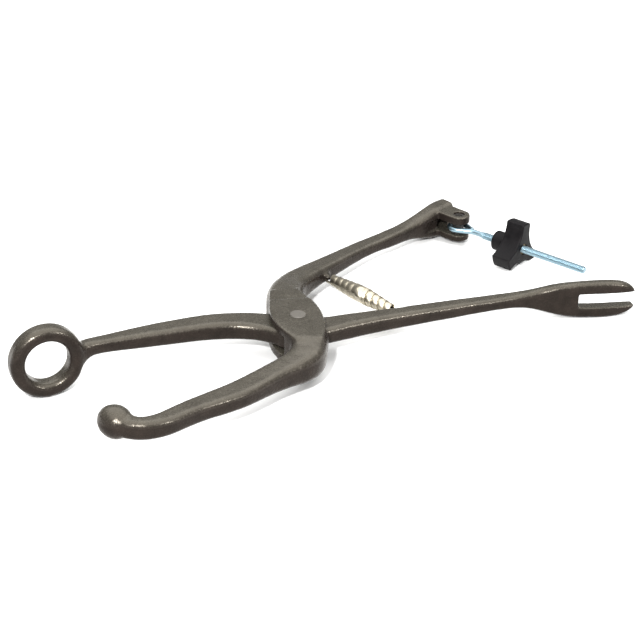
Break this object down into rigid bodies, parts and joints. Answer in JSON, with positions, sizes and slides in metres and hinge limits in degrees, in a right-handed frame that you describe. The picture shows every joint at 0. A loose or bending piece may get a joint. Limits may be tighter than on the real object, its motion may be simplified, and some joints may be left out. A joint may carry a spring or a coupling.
{
  "type": "shoe stretcher",
  "caption": "Ball-and-ring shoe stretcher: cast arms crossing at a riveted box joint, with a volute spring and a swing eye bolt with a star knob.",
  "frame": {"origin": "on the pivot axis, at the flat underside of the box joint", "axes": "+Z along the pivot axis; +X from the jaws to the handles along the centre line of the open tool"},
  "size_m": [0.3688, 0.1617, 0.0444],
  "materials": {
    "casting": "satin, fine cast grain",
    "rivet_steel": "satin",
    "spring_steel": "bright nickel plate",
    "zinc": "bright zinc plate",
    "black_plastic": "satin moulded",
    "insert_brass": "plain turned"
  },
  "bodies": {
    "ball_arm": {"ball_arm": "casting", "pivot_rivet": "rivet_steel", "clevis_pin": "rivet_steel", "volute_spring": "spring_steel"},
    "ring_arm": {"ring_arm": "casting"},
    "eye_bolt": {"eye_bolt": "zinc"},
    "knob_bush": {"knob_insert": "insert_brass"},
    "star_knob": {"star_knob": "black_plastic"}
  },
  "joints": [
    {"name": "jaw_pivot", "type": "hinge", "parent": "ball_arm", "child": "ring_arm", "pos_m": [0, 0, 0.0115], "axis": [0, 0, 1], "range_deg": [0, 19], "stiffness_Nm_per_rad": 6, "springref_deg": -2.86, "deforming": ["volute_spring"]},
    {"name": "bolt_swing", "type": "hinge", "parent": "ball_arm", "child": "eye_bolt", "pos_m": [0.16903, 0.06692, 0.0115], "axis": [0, 0, 1], "range_deg": [-87, 70]},
    {"name": "knob_travel", "type": "slide", "parent": "eye_bolt", "child": "knob_bush", "axis": [0.3123, -0.95, 0], "range_m": [-0.006, 0.044]},
    {"name": "knob_turn", "type": "hinge", "parent": "knob_bush", "child": "star_knob", "pos_m": [0.18153, 0.02893, 0.0115], "axis": [0.3123, -0.95, 0], "range_deg": [-2040, 14960]}
  ],
  "couplings": [
    {"joint": "knob_travel", "follows": "knob_turn", "m_per_rad": 0.00016844}
  ]
}
